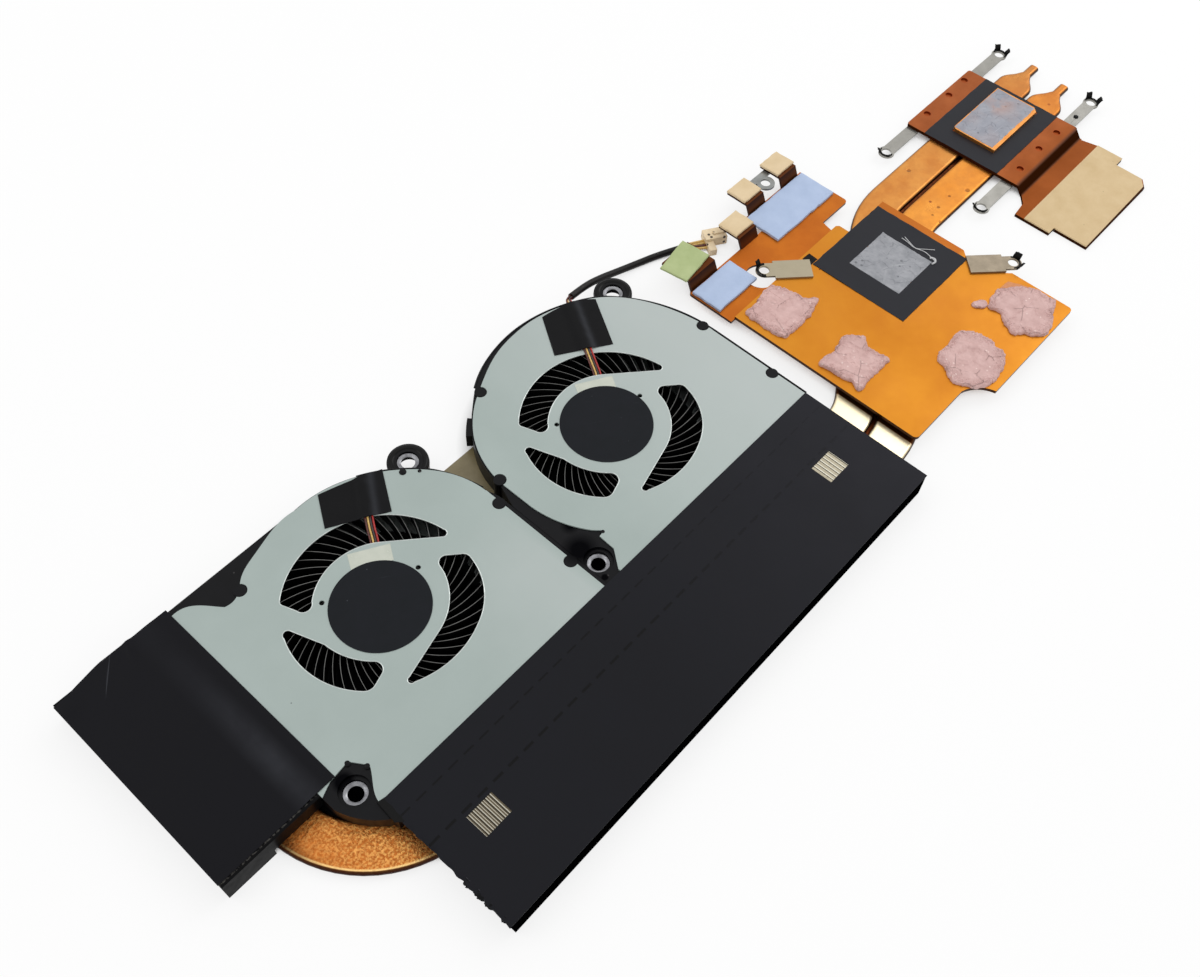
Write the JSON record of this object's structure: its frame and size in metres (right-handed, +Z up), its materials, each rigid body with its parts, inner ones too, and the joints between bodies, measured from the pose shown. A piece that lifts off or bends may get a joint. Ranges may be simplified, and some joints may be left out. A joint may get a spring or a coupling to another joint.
{
  "type": "laptop heatsink",
  "caption": "Laptop cooling module with blower fans, flattened heat pipes, taped fin stacks and copper contact plates with thermal pads.",
  "frame": {"origin": "middle of the box under the object, without the free fan lead and its connector, at the resting height", "axes": "+X along the long fin stack towards the processor plate, +Y from that stack's outlet towards the fans, +Z up, out of the contact side"},
  "size_m": [0.3514, 0.109, 0.008],
  "materials": {
    "black_film": "matt film",
    "black_tape": "satin film",
    "blade_metal": "dark",
    "blue_pad": "soft pad",
    "bridge_film": "matt film",
    "bush_metal": "bright",
    "clip_steel": "black",
    "copper": "satin copper",
    "cover_metal": "satin",
    "fin_metal": "as rolled",
    "green_pad": "soft pad",
    "housing_plastic": "moulded",
    "label_film": "matt",
    "magnet": "bonded magnet",
    "motor_parts": "windings",
    "paste": "dried paste",
    "plug_plastic": "moulded",
    "putty": "cracked putty",
    "rotor_plastic": "moulded",
    "steel": "satin",
    "tan_pad": "soft pad",
    "wire_colour": "insulation",
    "wire_sleeve": "satin"
  },
  "bodies": {
    "frame": {"blue_pad_1": "blue_pad", "blue_pad_2": "blue_pad", "bridging_sheet": "bridge_film", "cpu_cold_block": "copper", "cpu_film": "black_film", "cpu_leaf_lower": "steel", "cpu_leaf_upper": "steel", "cpu_paste": "paste", "cpu_plate": "copper", "ear_bushes": "bush_metal", "fan_1_back_cover": "cover_metal", "fan_1_bearing": "copper", "fan_1_cover": "cover_metal", "fan_1_housing": "housing_plastic", "fan_1_label": "label_film", "fan_1_stator": "motor_parts", "fan_1_tape_patch": "black_tape", "fan_1_wires": "wire_colour", "fan_2_back_cover": "cover_metal", "fan_2_bearing": "copper", "fan_2_connector": "plug_plastic", "fan_2_cover": "cover_metal", "fan_2_housing": "housing_plastic", "fan_2_label": "label_film", "fan_2_lead": "wire_sleeve", "fan_2_plug_wires": "wire_colour", "fan_2_stator": "motor_parts", "fan_2_tape_patch": "black_tape", "fan_2_wires": "wire_colour", "gpu_cold_block": "copper", "gpu_film": "black_film", "gpu_leaf_1": "steel", "gpu_leaf_2": "steel", "gpu_paste": "paste", "gpu_plate": "copper", "green_pad": "green_pad", "leaf_clips": "clip_steel", "left_fin_stack": "fin_metal", "left_tape": "black_tape", "long_heat_pipe": "copper", "main_fin_stack": "fin_metal", "main_tape": "black_tape", "putty_1": "putty", "putty_2": "putty", "putty_3": "putty", "putty_4": "putty", "short_heat_pipe": "copper", "side_plate": "copper", "steel_bracket": "steel", "tan_pads": "tan_pad", "wing_pad": "tan_pad"},
    "fan_1_rotor": {"fan_1_hub": "rotor_plastic", "fan_1_blades": "blade_metal", "fan_1_magnet": "magnet", "fan_1_shaft": "steel"},
    "fan_2_rotor": {"fan_2_hub": "rotor_plastic", "fan_2_blades": "blade_metal", "fan_2_magnet": "magnet", "fan_2_shaft": "steel"}
  },
  "joints": [
    {"name": "fan_1_spin", "type": "hinge", "parent": "frame", "child": "fan_1_rotor", "pos_m": [-0.10992, 0.01866, 0.003], "axis": [0, 0, 1], "continuous": true},
    {"name": "fan_2_spin", "type": "hinge", "parent": "frame", "child": "fan_2_rotor", "pos_m": [-0.03492, 0.01406, 0.003], "axis": [0, 0, 1], "continuous": true}
  ]
}
